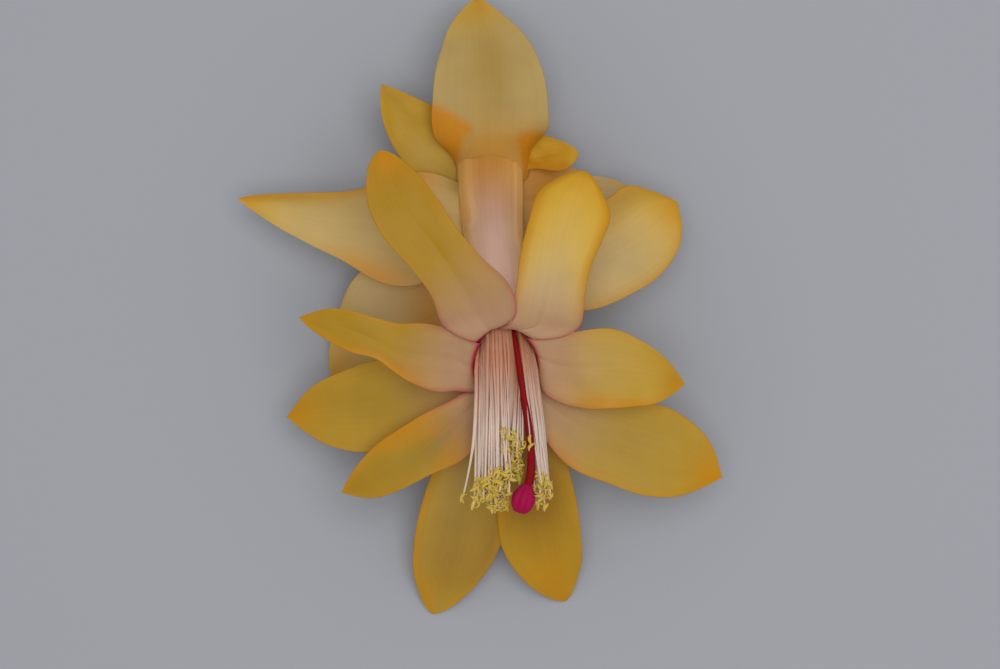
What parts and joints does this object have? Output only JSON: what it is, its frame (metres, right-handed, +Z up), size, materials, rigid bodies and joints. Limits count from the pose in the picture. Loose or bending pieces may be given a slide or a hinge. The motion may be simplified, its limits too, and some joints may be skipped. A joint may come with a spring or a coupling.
{
  "type": "picked thanksgiving cactus flower",
  "caption": "Picked Thanksgiving cactus flower lying on a surface: a slanted floral tube with tiers of arched pointed tepals, a bundle of stamens and a long style with a lobed stigma.",
  "frame": {"origin": "centre of the flower's footprint, on the surface that it lies on", "axes": "+Z up from the surface, +Y from the mouth of the floral tube back to the ovary, +X to the right of someone who looks down with the ovary at the top"},
  "size_m": [0.0596, 0.0766, 0.0222],
  "materials": {
    "ovary": "satin",
    "floral_tube": "satin",
    "style": "satin",
    "stigma": "matte",
    "stamens": "matte",
    "inner_tepals": "satin",
    "middle_tepals": "satin",
    "tube_tepals": "satin",
    "outer_tepals": "satin"
  },
  "bodies": {
    "root": {"ovary": "ovary", "floral_tube": "floral_tube", "style": "style", "stigma": "stigma", "stamens": "stamens", "inner_tepal_upper_left": "inner_tepals", "inner_tepal_upper_right": "inner_tepals", "inner_tepal_left": "inner_tepals", "inner_tepal_right": "inner_tepals", "inner_tepal_lower_left": "inner_tepals", "inner_tepal_lower_right": "inner_tepals", "middle_tepal_left": "middle_tepals", "middle_tepal_bottom_right": "middle_tepals", "middle_tepal_bottom_left": "middle_tepals", "tube_tepal_right": "tube_tepals", "tube_tepal_left": "tube_tepals", "tube_tepal_low_left": "tube_tepals", "tube_tepal_low_right": "tube_tepals", "outer_tepal_top": "outer_tepals", "outer_tepal_left": "outer_tepals", "outer_tepal_right": "outer_tepals"}
  },
  "joints": []
}
